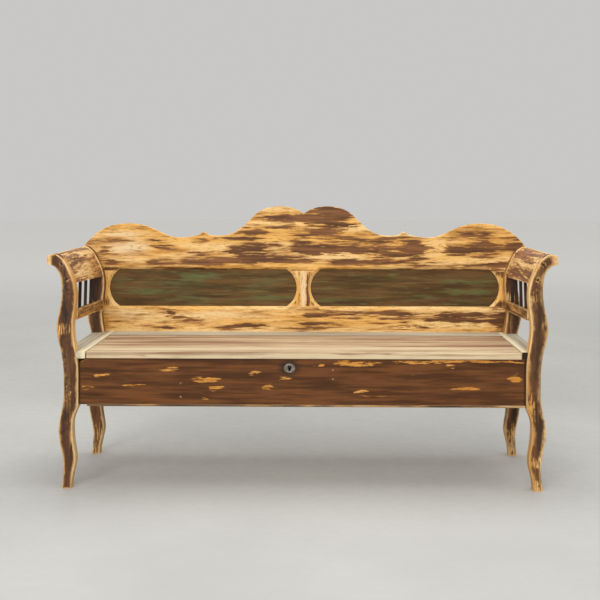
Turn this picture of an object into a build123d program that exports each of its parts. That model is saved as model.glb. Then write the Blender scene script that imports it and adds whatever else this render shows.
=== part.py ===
"""Painted pine box settle: an entryway storage bench with a hinged seat lid.

Frame: millimetres, +Z up, the front faces -Y, +X is on the right of someone who looks at the front.
The origin is on the floor, under the middle of the bench's overall box.
"""

from build123d import *
import os
from math import sqrt

os.makedirs("parts", exist_ok=True)

# ---------------------------------------------------------------- driving dimensions
WIDTH = 1882  # over the two arm edge strips
DEPTH = 554  # front of the front posts to the back of the crest
POST_THICK = 45  # all four posts are sawn from one thickness of plank
POST_PITCH = 485  # front face of a front post to front face of a back post
BACK_THICK = 24  # crest, rail and stiles
BOARD_THICK = 22  # boards of the box
SEAT_TOP = 507
SEAT_THICK = 25
BOX_BOTTOM = 312
BOX_HALF = 826  # half the clear width between the posts at the box
BOTTOM_THICK = 9
BOX_SETBACK = 11  # front board behind the post faces
LID_LEFT, LID_RIGHT = -795, 809
SEAT_INNER = {"left": 800, "right": 814}  # inner edges of the fixed end boards
HINGE_Y = 136
HINGE_X = 700
CREST_FOOT = 762  # joint between the crest and the stiles
RAIL_TOP = 612.5  # top of the lower back rail
LOCK_X = -43
KEY_Z = 449

FRONT = -DEPTH / 2
BACK = DEPTH / 2
FRONT_POST_REAR = FRONT + POST_THICK
BACK_POST_FRONT = FRONT + POST_PITCH
BACK_POST_REAR = BACK_POST_FRONT + POST_THICK
BOARD_FRONT = FRONT + BOX_SETBACK
BOARD_REAR = BOARD_FRONT + BOARD_THICK
BOX_TOP = SEAT_TOP - SEAT_THICK
LID_REAR = HINGE_Y - 1
STRIP_FRONT = HINGE_Y + 1
BOTTOM_FACE = BOX_BOTTOM - BOTTOM_THICK
BACK_BOARD_FRONT = BACK_POST_REAR - BOARD_THICK
SIDE_BOARD_IN = 845
SIDE_BOARD_OUT = SIDE_BOARD_IN + BOARD_THICK

NAIL_R = 1.6
NAIL_HEAD_R = 3.6
NAIL_HEAD_T = 1.5
SCREW_R = 1.4
SCREW_HEAD_R = 2.6
SCREW_HEAD_T = 1.4
SCREW_LENGTH = 18

SIDES = {"left": -1, "right": 1}
UP, DOWN = (0, 0, 1), (0, 0, -1)
REARWARD, FORWARD = (0, 1, 0), (0, -1, 0)


# ---------------------------------------------------------------- helpers
def block(low, high, mode=Mode.ADD):
    """Rectangular block between two opposite corners, in the current part."""
    size = [b - a for a, b in zip(low, high)]
    middle = [(a + b) / 2 for a, b in zip(low, high)]
    with Locations(tuple(middle)):
        Box(*size, mode=mode)


def on_side(side, points):
    """Outline points of the right-hand piece, mirrored for side -1."""
    return [(side * x, z) for x, z in points]


def span(side, near, far):
    """Lowest and highest X of a stretch from near to far out on one side."""
    return min(side * near, side * far), max(side * near, side * far)


def vertical_section(y):
    """Sketch plane that faces the front, with its origin at depth y."""
    return Plane.XZ.offset(-y)


def nail(head, into, length, mode=Mode.ADD):
    """Cut nail with a flat round head, its head at one point and its shank along into."""
    with Locations(Plane(head, z_dir=into)):
        Cylinder(NAIL_HEAD_R, NAIL_HEAD_T, align=(Align.CENTER, Align.CENTER, Align.MIN), mode=mode)
        Cylinder(NAIL_R, length, align=(Align.CENTER, Align.CENTER, Align.MIN), mode=mode)


def screw(head, into, length, mode=Mode.ADD):
    """Countersunk wood screw, its flat head at one point and its shank along into."""
    with Locations(Plane(head, z_dir=into)):
        Cone(SCREW_HEAD_R, SCREW_R, SCREW_HEAD_T, align=(Align.CENTER, Align.CENTER, Align.MIN), mode=mode)
        Cylinder(SCREW_R, length, align=(Align.CENTER, Align.CENTER, Align.MIN), mode=mode)


def write(piece, name):
    """Labels a finished sub-part and writes its STEP file."""
    piece.part.label = name
    export_step(piece.part, f"parts/{name}.step")


# ---------------------------------------------------------------- nails
# Cut nails that hold the frame together. Every head is driven flush.
CREST_NAILS = [(x * s, z) for s in (-1, 1) for x, z in ((862, 792), (880, 835))]
RAIL_NAILS = [(x * s, z) for s in (-1, 1) for x, z in ((862, 535), (868, 590))]
BOTTOM_NAIL_X = (-700, -350, 0, 350, 700)
END_NAIL_Y = (-180, 0, 170)
STRIP_NAIL_Z = 846
STRIP_NAIL_Y = (FRONT + 20, 0, BACK_POST_REAR - 20)
BACK_NAIL_LENGTH = 55
SEAT_NAIL_LENGTH = 50
STRIP_NAIL_LENGTH = 38
BOTTOM_NAIL_LENGTH = 36
front_nail_y = BOARD_FRONT + BOARD_THICK / 2
back_nail_y = BACK_BOARD_FRONT + BOARD_THICK / 2
side_nail_x = SIDE_BOARD_IN + BOARD_THICK / 2

with BuildPart() as frame_nails:
    for x, z in CREST_NAILS + RAIL_NAILS:
        nail((x, BACK, z), FORWARD, BACK_NAIL_LENGTH)
    for x in BOTTOM_NAIL_X:
        nail((x, front_nail_y, BOTTOM_FACE), UP, BOTTOM_NAIL_LENGTH)
        nail((x, back_nail_y, BOTTOM_FACE), UP, BOTTOM_NAIL_LENGTH)
        nail((x, back_nail_y, SEAT_TOP), DOWN, SEAT_NAIL_LENGTH)
    for s in SIDES.values():
        for y in END_NAIL_Y:
            nail((s * side_nail_x, y, SEAT_TOP), DOWN, SEAT_NAIL_LENGTH)
            nail((s * side_nail_x, y, BOTTOM_FACE), UP, BOTTOM_NAIL_LENGTH)
        for y in STRIP_NAIL_Y:
            nail((s * WIDTH / 2, y, STRIP_NAIL_Z), (-s, 0, 0), STRIP_NAIL_LENGTH)

# Nails whose heads show on the front: four into the inner battens, one in the back rail and two in
# the lock's rose.
BATTEN_X = (-446, 117)
BATTEN_NAIL_Z = ((389, 339), (440, 407))
BATTEN_NAIL_LENGTH = 34
RAIL_NAIL_X, RAIL_NAIL_Z = 319, 562
RAIL_NAIL_LENGTH = 22
HEAD_PROUD = 0.8
ROSE_NAIL_OFFSET = 17
ROSE_NAIL_PROUD = 2.2
ROSE_NAIL_LENGTH = 18
ROSE_Z = KEY_Z - 3
with BuildPart() as front_nails:
    for x, heights in zip(BATTEN_X, BATTEN_NAIL_Z):
        for z in heights:
            nail((x, BOARD_FRONT - HEAD_PROUD, z), REARWARD, BATTEN_NAIL_LENGTH)
    nail((RAIL_NAIL_X, BACK_POST_REAR - HEAD_PROUD, RAIL_NAIL_Z), REARWARD, RAIL_NAIL_LENGTH)
    for s in SIDES.values():
        nail((LOCK_X + s * ROSE_NAIL_OFFSET, BOARD_FRONT - ROSE_NAIL_PROUD, ROSE_Z), REARWARD, ROSE_NAIL_LENGTH)

# ---------------------------------------------------------------- box
TENON_THICK = 12
TENON_INSET = 5  # behind the board's outer face
FRONT_TENON_LENGTH = 22
SIDE_TENON_LENGTH = 20
TENON_LOW, TENON_HIGH = 335, 460


def add_end_tenons(front_y):
    """Stub tenons on both ends of the front or back board."""
    for s in SIDES.values():
        low, high = span(s, BOX_HALF, BOX_HALF + FRONT_TENON_LENGTH)
        block((low, front_y + TENON_INSET, TENON_LOW), (high, front_y + TENON_INSET + TENON_THICK, TENON_HIGH))


def keyhole_outline(head_r, slot_width, slot_foot):
    """Round head with a straight slot below it, centred on the key's axis."""
    with Locations((LOCK_X, KEY_Z)):
        Circle(head_r)
    with Locations((LOCK_X, (KEY_Z + slot_foot) / 2)):
        Rectangle(slot_width, KEY_Z - slot_foot)


BOARD_ARRIS = 2.5
CHIP = [(0, 0), (30, 0), (22, -7), (9, -13), (0, -26)]  # broken corner, from the board's top left corner
CHIP_DEEP = 15
KEYHOLE_R, KEYHOLE_SLOT, KEYHOLE_FOOT = 7, 8, 434

# The front board, with its broken top corner, the keyhole and worn arrises.
with BuildPart() as box_front_board:
    block((-BOX_HALF, BOARD_FRONT, BOX_BOTTOM), (BOX_HALF, BOARD_REAR, BOX_TOP))
    fillet(box_front_board.edges().filter_by(Axis.X).group_by(Axis.Y)[0], BOARD_ARRIS)
    add_end_tenons(BOARD_FRONT)
    with BuildSketch(vertical_section(BOARD_FRONT + CHIP_DEEP)):
        with BuildLine():
            Polyline(*[(x - BOX_HALF, z + BOX_TOP) for x, z in CHIP], close=True)
        make_face()
    extrude(amount=CHIP_DEEP, mode=Mode.SUBTRACT)
    with BuildSketch(vertical_section(BOARD_REAR)):
        keyhole_outline(KEYHOLE_R, KEYHOLE_SLOT, KEYHOLE_FOOT)
    extrude(amount=BOARD_THICK, mode=Mode.SUBTRACT)

with BuildPart() as box_back_board:
    block((-BOX_HALF, BACK_BOARD_FRONT, BOX_BOTTOM), (BOX_HALF, BACK_POST_REAR, BOX_TOP))
    add_end_tenons(BACK_BOARD_FRONT)
    add(frame_nails.part, mode=Mode.SUBTRACT)


def make_side_board(side):
    """End of the box, between a front and a back post, with a stub tenon into each."""
    low, high = span(side, SIDE_BOARD_IN, SIDE_BOARD_OUT)
    tenon_near = SIDE_BOARD_IN + TENON_INSET
    tenon_low, tenon_high = span(side, tenon_near, tenon_near + TENON_THICK)
    with BuildPart() as board:
        block((low, FRONT_POST_REAR, BOX_BOTTOM), (high, BACK_POST_FRONT, BOX_TOP))
        block((tenon_low, FRONT_POST_REAR - SIDE_TENON_LENGTH, TENON_LOW),
              (tenon_high, BACK_POST_FRONT + SIDE_TENON_LENGTH, TENON_HIGH))
        add(frame_nails.part, mode=Mode.SUBTRACT)
    return board


box_side_boards = {name: make_side_board(side) for name, side in SIDES.items()}

# Battens inside the front board. The chest lock sits between them.
BATTEN_HALF, BATTEN_THICK = 15, 18
BATTEN_LOW, BATTEN_HIGH = BOX_BOTTOM + 3, BOX_TOP - 8
BATTEN_CHAMFER = 3


def make_batten(x):
    """Upright batten behind the front board, centred at x."""
    with BuildPart() as batten:
        block((x - BATTEN_HALF, BOARD_REAR, BATTEN_LOW), (x + BATTEN_HALF, BOARD_REAR + BATTEN_THICK, BATTEN_HIGH))
        chamfer(batten.edges().filter_by(Axis.Z).group_by(Axis.Y)[-1], BATTEN_CHAMFER)
        add(front_nails.part, mode=Mode.SUBTRACT)
    return batten


battens = {name: make_batten(x) for name, x in zip(SIDES, BATTEN_X)}

# Bottom planks, nailed under the boards and notched round the posts.
PLANK_SEAM = -12
PLANK_GAP = 1
PLANK_SHORTFALL = 31  # the front plank's left end stops short of the post
NOTCH_GAP = 3
PLANK_SETBACK = 1
PLANK_ARRIS = 2
with BuildPart() as bottom_front_plank:
    block((-BOX_HALF + NOTCH_GAP, BOARD_FRONT + PLANK_SETBACK, BOTTOM_FACE),
          (BOX_HALF - NOTCH_GAP, PLANK_SEAM, BOX_BOTTOM))
    block((-SIDE_BOARD_OUT, FRONT_POST_REAR, BOTTOM_FACE), (SIDE_BOARD_OUT, PLANK_SEAM, BOX_BOTTOM))
    block((-BOX_HALF, BOARD_FRONT, BOTTOM_FACE), (-BOX_HALF + PLANK_SHORTFALL, FRONT_POST_REAR, BOX_BOTTOM),
          mode=Mode.SUBTRACT)
    fillet(bottom_front_plank.edges().filter_by(Axis.X).group_by(Axis.Y)[0], PLANK_ARRIS)
    add(frame_nails.part, mode=Mode.SUBTRACT)

with BuildPart() as bottom_back_plank:
    block((-BOX_HALF + NOTCH_GAP, PLANK_SEAM + PLANK_GAP, BOTTOM_FACE),
          (BOX_HALF - NOTCH_GAP, BACK_POST_REAR, BOX_BOTTOM))
    block((-SIDE_BOARD_OUT, PLANK_SEAM + PLANK_GAP, BOTTOM_FACE), (SIDE_BOARD_OUT, BACK_POST_FRONT, BOX_BOTTOM))
    add(frame_nails.part, mode=Mode.SUBTRACT)

# ---------------------------------------------------------------- side rails, slats and arms
ARM_FALL = 14  # the rail and the arm's lower edge drop this much from front to back
RAIL_Z = 658  # top of the side rail at the front post
RAIL_HEIGHT = 38
RAIL_IN, RAIL_OUT = 838, 860
RAIL_ARRIS = 3
RAIL_TENON_LENGTH = 15
RAIL_TENON_INSET = 5
RAIL_TENON_DOWN = (32, 6)  # foot and top of the tenon, below the rail's top
ARM_FOOT = 758  # lower edge of the arm board at the front post
ARM_LENGTH = BACK_POST_FRONT - FRONT_POST_REAR
SLATS_PER_SIDE = 4
SLAT_WIDTH, SLAT_THICK = 12, 10
SLAT_TOP_X, SLAT_FOOT_X = 847.5, 851
SLAT_HOUSING = 10
ARM_TIP = 927
STRIP_LOW, STRIP_HIGH = 828, 863
ARM_CUT = (830, 880, 30)  # the block that trims the arm board's lower edge: its width and height
STRIP_ARRIS = 4
PEG_R = 4.5
PEG_RECESS = 3
PEG_IN_ARM = 25
PEGS = [(887, 832), (868, 775)]

# Inner and upper face of the arm board, then its outer and lower face, from its foot to its tip.
ARM_FACE = [(839, 744), (847, 773), (863, 808), (884, 842), (903, 857), (ARM_TIP, 860)]
ARM_UNDERSIDE = [(ARM_TIP, 832), (908, 824), (890, 800), (878, 773), (869, 744)]


def fall(y):
    """How far the sloping rail and arm have dropped at depth y."""
    return ARM_FALL * (y - FRONT_POST_REAR) / ARM_LENGTH


def make_slat(side, y):
    """Square-edged slat, housed in the rail below it and in the arm board above it."""
    foot = RAIL_Z - fall(y) - SLAT_HOUSING
    top = ARM_FOOT - fall(y) + SLAT_HOUSING
    half = SLAT_THICK / 2
    outline = [(SLAT_FOOT_X - half, foot), (SLAT_FOOT_X + half, foot), (SLAT_TOP_X + half, top),
               (SLAT_TOP_X - half, top)]
    with BuildPart() as slat:
        with BuildSketch(vertical_section(y + SLAT_WIDTH / 2)):
            with BuildLine():
                Polyline(*on_side(side, outline), close=True)
            make_face()
        extrude(amount=SLAT_WIDTH)
    return slat


slat_pitch = (ARM_LENGTH + SLAT_WIDTH) / (SLATS_PER_SIDE + 1)
slat_depths = [FRONT_POST_REAR - SLAT_WIDTH / 2 + slat_pitch * (i + 1) for i in range(SLATS_PER_SIDE)]
slats = {name: [make_slat(side, y) for y in slat_depths] for name, side in SIDES.items()}


def make_side_rail(side, own_slats):
    """Sloping rail under the arm, tenoned into both posts."""
    low, high = span(side, RAIL_IN, RAIL_OUT)
    tenon_low, tenon_high = span(side, RAIL_IN + RAIL_TENON_INSET, RAIL_OUT - RAIL_TENON_INSET)
    tenon_foot, tenon_top = RAIL_TENON_DOWN
    rear_top = RAIL_Z - ARM_FALL
    with BuildPart() as rail:
        with BuildSketch(Plane.YZ.offset(low)):
            with BuildLine():
                Polyline((FRONT_POST_REAR, RAIL_Z), (BACK_POST_FRONT, rear_top),
                         (BACK_POST_FRONT, rear_top - RAIL_HEIGHT), (FRONT_POST_REAR, RAIL_Z - RAIL_HEIGHT), close=True)
            make_face()
        extrude(amount=high - low)
        fillet(rail.faces().sort_by(Axis.Z)[-1].edges().filter_by(lambda e: e.length > ARM_LENGTH / 2), RAIL_ARRIS)
        block((tenon_low, FRONT_POST_REAR - RAIL_TENON_LENGTH, RAIL_Z - tenon_foot),
              (tenon_high, FRONT_POST_REAR, RAIL_Z - tenon_top))
        block((tenon_low, BACK_POST_FRONT, rear_top - tenon_foot),
              (tenon_high, BACK_POST_FRONT + RAIL_TENON_LENGTH, rear_top - tenon_top))
        for slat in own_slats:
            add(slat.part, mode=Mode.SUBTRACT)
    return rail


side_rails = {name: make_side_rail(side, slats[name]) for name, side in SIDES.items()}

# Wooden pegs through the posts into the arm boards, each a little below the surface.
peg_length = POST_THICK - PEG_RECESS + PEG_IN_ARM
peg_grid = [(s * x, z) for s in SIDES.values() for x, z in PEGS]
with BuildPart() as arm_pegs:
    for x, z in peg_grid:
        with Locations(Plane((x, FRONT + PEG_RECESS, z), z_dir=REARWARD),
                       Plane((x, BACK_POST_REAR - PEG_RECESS, z), z_dir=FORWARD)):
            Cylinder(PEG_R, peg_length, align=(Align.CENTER, Align.CENTER, Align.MIN))

with BuildPart() as peg_holes:
    for x, z in peg_grid:
        with Locations(Plane((x, FRONT, z), z_dir=REARWARD), Plane((x, BACK_POST_REAR, z), z_dir=FORWARD)):
            Cylinder(PEG_R, peg_length + PEG_RECESS, align=(Align.CENTER, Align.CENTER, Align.MIN))


def make_arm_board(side, own_slats):
    """Thick board between the posts, sawn to the scroll's curve. Its grain runs front to back."""
    cut_near, cut_far, cut_height = ARM_CUT
    with BuildPart() as arm:
        with BuildSketch(vertical_section(BACK_POST_FRONT)):
            with BuildLine():
                Spline(*on_side(side, ARM_FACE))
                Line(*on_side(side, [ARM_FACE[-1], ARM_UNDERSIDE[0]]))
                Spline(*on_side(side, ARM_UNDERSIDE))
                Line(*on_side(side, [ARM_UNDERSIDE[-1], ARM_FACE[0]]))
            make_face()
        extrude(amount=ARM_LENGTH)
        with BuildSketch(Plane.YZ.offset(span(side, cut_near, cut_far)[0])):
            with BuildLine():
                Polyline((FRONT_POST_REAR, ARM_FOOT), (FRONT_POST_REAR, ARM_FOOT - cut_height),
                         (BACK_POST_FRONT, ARM_FOOT - cut_height), (BACK_POST_FRONT, ARM_FOOT - ARM_FALL),
                         close=True)
            make_face()
        extrude(amount=cut_far - cut_near, mode=Mode.SUBTRACT)
        for slat in own_slats:
            add(slat.part, mode=Mode.SUBTRACT)
        add(arm_pegs.part, mode=Mode.SUBTRACT)
        add(frame_nails.part, mode=Mode.SUBTRACT)
    return arm


arm_boards = {name: make_arm_board(side, slats[name]) for name, side in SIDES.items()}


def make_arm_edge_strip(side):
    """Batten that closes the scroll's outer end, from the front post to the back post."""
    low, high = span(side, ARM_TIP, WIDTH / 2)
    with BuildPart() as strip:
        block((low, FRONT, STRIP_LOW), (high, BACK_POST_REAR, STRIP_HIGH))
        outer = strip.edges().filter_by(Axis.Y).filter_by(lambda e: abs(e.center().X) > WIDTH / 2 - 1)
        fillet(outer, STRIP_ARRIS)
        add(frame_nails.part, mode=Mode.SUBTRACT)
    return strip


arm_edge_strips = {name: make_arm_edge_strip(side) for name, side in SIDES.items()}

# ---------------------------------------------------------------- posts
# Outline of the right-hand posts: the outer edge from the floor to the arm's tip, then the scroll's
# top and the inner edge down to the knee, then the leg's inner edge. X is from the bench's middle.
POST_OUTER = [(887, 0), (880, 55), (881, 105), (893, 165), (898, 215), (890, 275), (880, 325), (878.5, 380),
              (880, 440), (888, 502), (901, 555), (905.5, 597), (896, 655), (888, 705), (888.5, 765),
              (902, 807), (ARM_TIP, 828)]
POST_INNER = [(ARM_TIP, 864), (908, 866.5), (892, 857), (878, 842), (859.5, 808), (845, 773), (836.5, 738),
              (838, 668), (845, 610), (843, 560), (834, 505), (827.5, 460), (BOX_HALF, 410), (BOX_HALF, 355),
              (BOX_HALF, 302)]
LEG_INNER = [(BOX_HALF, 302), (834, 285), (844, 258), (847, 215), (842, 158), (835.5, 105), (844, 60), (852, 0)]
ARRIS = 3


def make_post_blank(rear_y):
    """Right-hand post as sawn, before its arrises wear and its joints are cut."""
    with BuildPart() as blank:
        with BuildSketch(vertical_section(rear_y)):
            with BuildLine():
                Spline(*POST_OUTER)
                Line(POST_OUTER[-1], POST_INNER[0])
                Spline(*POST_INNER)
                Spline(*LEG_INNER)
                Line(LEG_INNER[-1], POST_OUTER[0])
            make_face()
        extrude(amount=POST_THICK)
    return blank


def make_worn_blank(blank):
    """The same post with its long arrises rounded over by wear."""
    with BuildPart() as worn:
        add(blank.part)
        arrises = worn.faces().filter_by(Axis.Y).edges().filter_by(lambda e: e.center().Z > 1)
        chamfer(arrises, ARRIS)
    return worn


def place_on_side(piece, side):
    """The right-hand piece itself, or its mirror image for the left."""
    with BuildPart() as placed:
        if side > 0:
            add(piece.part)
        else:
            mirror(piece.part, about=Plane.YZ)
    return placed


POST_REARS = {"front": FRONT_POST_REAR, "back": BACK_POST_REAR}
post_blanks = {place: make_post_blank(rear_y) for place, rear_y in POST_REARS.items()}
worn_blanks = {place: make_worn_blank(blank) for place, blank in post_blanks.items()}


def make_post(place, side_name):
    """Finished post, with the mortises of the boards it carries."""
    cross_board = box_front_board if place == "front" else box_back_board
    with BuildPart() as post:
        add(place_on_side(worn_blanks[place], SIDES[side_name]).part)
        add(cross_board.part, mode=Mode.SUBTRACT)
        add(box_side_boards[side_name].part, mode=Mode.SUBTRACT)
        add(side_rails[side_name].part, mode=Mode.SUBTRACT)
        add(peg_holes.part, mode=Mode.SUBTRACT)
        add(frame_nails.part, mode=Mode.SUBTRACT)
    return post


posts = {f"{place}_{name}_post": make_post(place, name) for place in POST_REARS for name in SIDES}

# ---------------------------------------------------------------- panelled back
CREST_TOP = 1034
BACK_HALF = 886  # ends of the rail, behind the posts
OPENING_NEAR, OPENING_FAR = 29.5, 821  # ends of a panel opening, at mid height
OPENING_TOP = 769
OPENING_BULGE = 43  # how far each rounded end swells past its corners
CHAMFER_WIDE, CHAMFER_DEEP = 11, 10
PANEL_THICK = 9
REBATE_Y = BACK_POST_REAR + 13
PANEL_LAP = 10

opening_height = OPENING_TOP - RAIL_TOP
opening_mid_z = (OPENING_TOP + RAIL_TOP) / 2
end_r = (opening_height**2 / 4 + OPENING_BULGE**2) / (2 * OPENING_BULGE)


def opening_outline(side, y, grow):
    """Panel opening with bulging ends, grown outwards by a margin, drawn at depth y."""
    half = opening_height / 2 + grow
    corner = sqrt((end_r + grow) ** 2 - half**2)
    near, far = OPENING_NEAR + end_r - corner, OPENING_FAR - end_r + corner
    low, high = opening_mid_z - half, opening_mid_z + half
    with BuildSketch(vertical_section(y)) as outline:
        with BuildLine():
            Line(*on_side(side, [(near, low), (far, low)]))
            ThreePointArc(*on_side(side, [(far, low), (OPENING_FAR + grow, opening_mid_z), (far, high)]))
            Line(*on_side(side, [(far, high), (near, high)]))
            ThreePointArc(*on_side(side, [(near, high), (OPENING_NEAR - grow, opening_mid_z), (near, low)]))
        make_face()
    return outline.sketch


def make_opening_cut(side):
    """What is cut from the back frame for one panel: the bevelled opening and the rebate behind it."""
    panel_low, panel_high = span(side, OPENING_NEAR - PANEL_LAP, OPENING_FAR + PANEL_LAP)
    bevel_y = BACK_POST_REAR + CHAMFER_DEEP
    face = opening_outline(side, BACK_POST_REAR, CHAMFER_WIDE)
    inner = opening_outline(side, bevel_y, 0)
    rebate = opening_outline(side, REBATE_Y, 0)
    with BuildPart() as cut:
        loft([face, inner], ruled=True)
        extrude(rebate, amount=REBATE_Y - bevel_y)
        block((panel_low, REBATE_Y, RAIL_TOP - PANEL_LAP), (panel_high, BACK, OPENING_TOP + PANEL_LAP))
    return cut


opening_cuts = [make_opening_cut(side) for side in SIDES.values()]


def cut_openings():
    """Takes both panel openings out of the current part."""
    for cut in opening_cuts:
        add(cut.part, mode=Mode.SUBTRACT)


STILE_TENON_WIDTH, STILE_TENON_LENGTH = 30, 20
STILE_TENON_Y = (BACK - 17, BACK - 9)
END_STILE_TENON_X = 855
STILE_CORNER = 2  # a stile's shoulder, past the opening's corner


def make_stile(low, high, tenon_x):
    """Upright of the back frame, its edges hollowed by the openings, with a tenon at each end."""
    with BuildPart() as stile:
        block((low, BACK_POST_REAR, RAIL_TOP), (high, BACK, CREST_FOOT))
        cut_openings()
        block((tenon_x - STILE_TENON_WIDTH / 2, STILE_TENON_Y[0], RAIL_TOP - STILE_TENON_LENGTH),
              (tenon_x + STILE_TENON_WIDTH / 2, STILE_TENON_Y[1], CREST_FOOT + STILE_TENON_LENGTH))
    return stile


corner_x = OPENING_FAR - OPENING_BULGE + STILE_CORNER
centre_half = OPENING_NEAR + OPENING_BULGE - STILE_CORNER
back_stiles = {
    "left": make_stile(-BACK_HALF, -corner_x, -END_STILE_TENON_X),
    "centre": make_stile(-centre_half, centre_half, 0),
    "right": make_stile(corner_x, BACK_HALF, END_STILE_TENON_X),
}

with BuildPart() as back_bottom_rail:
    block((-BACK_HALF, BACK_POST_REAR, SEAT_TOP), (BACK_HALF, BACK, RAIL_TOP))
    cut_openings()
    for stile in back_stiles.values():
        add(stile.part, mode=Mode.SUBTRACT)
    add(frame_nails.part, mode=Mode.SUBTRACT)
    add(front_nails.part, mode=Mode.SUBTRACT)

# Right half of the crest: a tall lobe beside the middle notch, a dip with a small point, the low
# lobe at the end, and the end sawn back under the arm's scroll.
TALL_LOBE = [(0, 1003), (35, 1023.5), (85, CREST_TOP), (150, 1028), (197, 1006), (232, 972), (262, 945),
             (302, 920), (350, 910), (399, 913)]
SMALL_POINT = [(399, 913), (421, 928), (443, 914)]
LOW_LOBE = [(443, 914), (485, 905), (530, 902), (577, 912), (617, 931), (660, 949), (702, 959), (748, 962),
            (802, 956), (850, 938), (888, 911), (914, 886), (931, 862)]
CREST_END = [(931, 862), (926, 838), (903, 808), (BACK_HALF, CREST_FOOT)]
CREST_ARRIS = 2

with BuildPart() as crest_board:
    with BuildSketch(vertical_section(BACK)):
        with BuildLine():
            Spline(*TALL_LOBE)
            Polyline(*SMALL_POINT)
            Spline(*LOW_LOBE)
            Spline(*CREST_END)
            Line(CREST_END[-1], (0, CREST_FOOT))
            Line((0, CREST_FOOT), TALL_LOBE[0])
        make_face()
        mirror(about=Plane.YZ)
    extrude(amount=BACK_THICK)
    top_edges = crest_board.faces().filter_by(Axis.Y).edges().filter_by(lambda e: e.center().Z > CREST_FOOT + 1)
    chamfer(top_edges, CREST_ARRIS)
    cut_openings()
    for stile in back_stiles.values():
        add(stile.part, mode=Mode.SUBTRACT)
    add(frame_nails.part, mode=Mode.SUBTRACT)


def make_panel(side):
    """Thin panel, lying in the rebate behind its opening."""
    low, high = span(side, OPENING_NEAR - PANEL_LAP, OPENING_FAR + PANEL_LAP)
    with BuildPart() as panel:
        block((low, REBATE_Y, RAIL_TOP - PANEL_LAP), (high, REBATE_Y + PANEL_THICK, OPENING_TOP + PANEL_LAP))
    return panel


back_panels = {name: make_panel(side) for name, side in SIDES.items()}

# ---------------------------------------------------------------- fixed seat boards
END_BOARD_OUT = 883
END_SETBACK = {"left": 0, "right": 15}
SEAT_ARRIS = 2


def make_end_board(name, side):
    """Fixed board beside the lid, notched round both posts."""
    inner = SEAT_INNER[name]
    low, high = span(side, inner, END_BOARD_OUT)
    front_y = FRONT + END_SETBACK[name]
    with BuildPart() as board:
        block((low, front_y, BOX_TOP), (high, BACK, SEAT_TOP))
        for place in POST_REARS:
            add(place_on_side(post_blanks[place], side).part, mode=Mode.SUBTRACT)
        add(frame_nails.part, mode=Mode.SUBTRACT)
        inner_edges = board.edges().filter_by(Axis.Y).filter_by(lambda e: abs(e.center().X) < inner + 1)
        fillet(inner_edges.group_by(Axis.Z)[-1], SEAT_ARRIS)
    return board


seat_end_boards = {name: make_end_board(name, side) for name, side in SIDES.items()}

# ---------------------------------------------------------------- hinges
HINGE_Z = SEAT_TOP + 0.5
HINGE_LENGTH = 50
KNUCKLE_R = 3.2
KNUCKLE_GAP = 0.3
PIN_R = 1.5
PIN_HEAD_R, PIN_HEAD_T = 2.3, 1
RUNNING_GAP = 0.05
POCKET_R = 4
POCKET_MARGIN = 2  # from a barrel's end to the end of its pocket
LEAF_NEAR, LEAF_FAR = 0.4, 2.0  # a leaf's two faces, from the hinge axis
LEAF_FOOT = SEAT_TOP - 20
HINGE_SCREW_OFFSETS = (-17, 0, 17)
HINGE_SCREW_Z = SEAT_TOP - 13
knuckle_length = (HINGE_LENGTH - 2 * KNUCKLE_GAP) / 3
hinge_places = {"left": -HINGE_X, "right": HINGE_X}

ALONG_X = (0, 90, 0)


def barrel(x, radius, length, mode=Mode.ADD):
    """Cylinder round the hinge axis, centred at x."""
    with Locations((x, HINGE_Y, HINGE_Z)):
        Cylinder(radius, length, rotation=ALONG_X, mode=mode)


with BuildPart() as hinge_screws:
    for x in hinge_places.values():
        for dx in HINGE_SCREW_OFFSETS:
            screw((x + dx, HINGE_Y + LEAF_NEAR, HINGE_SCREW_Z), REARWARD, SCREW_LENGTH)

with BuildPart() as lid_hinge_screws:
    for x in hinge_places.values():
        for dx in HINGE_SCREW_OFFSETS:
            screw((x + dx, HINGE_Y - LEAF_NEAR, HINGE_SCREW_Z), FORWARD, SCREW_LENGTH)


def make_fixed_leaf(x):
    """Leaf on the back strip, with the two outer knuckles."""
    with BuildPart() as leaf:
        block((x - HINGE_LENGTH / 2, HINGE_Y + LEAF_NEAR, LEAF_FOOT),
              (x + HINGE_LENGTH / 2, HINGE_Y + LEAF_FAR, HINGE_Z))
        barrel(x, POCKET_R, knuckle_length + 2 * KNUCKLE_GAP, mode=Mode.SUBTRACT)
        for s in SIDES.values():
            barrel(x + s * (knuckle_length + KNUCKLE_GAP), KNUCKLE_R, knuckle_length)
        barrel(x, PIN_R, HINGE_LENGTH + 2 * PIN_HEAD_T, mode=Mode.SUBTRACT)
        add(hinge_screws.part, mode=Mode.SUBTRACT)
    return leaf


def make_lid_leaf(x):
    """Leaf on the lid, with the middle knuckle, which turns on the pin."""
    with BuildPart() as leaf:
        block((x - HINGE_LENGTH / 2, HINGE_Y - LEAF_FAR, LEAF_FOOT),
              (x + HINGE_LENGTH / 2, HINGE_Y - LEAF_NEAR, HINGE_Z))
        for s in SIDES.values():
            barrel(x + s * (knuckle_length + KNUCKLE_GAP), POCKET_R, knuckle_length + KNUCKLE_GAP, mode=Mode.SUBTRACT)
        barrel(x, KNUCKLE_R, knuckle_length)
        barrel(x, PIN_R + RUNNING_GAP, HINGE_LENGTH + 2 * PIN_HEAD_T, mode=Mode.SUBTRACT)
        add(lid_hinge_screws.part, mode=Mode.SUBTRACT)
    return leaf


def make_hinge_pin(x):
    """Hinge pin, its ends riveted over."""
    with BuildPart() as pin:
        barrel(x, PIN_R, HINGE_LENGTH)
        for s in SIDES.values():
            barrel(x + s * (HINGE_LENGTH + PIN_HEAD_T) / 2, PIN_HEAD_R, PIN_HEAD_T)
    return pin


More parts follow.
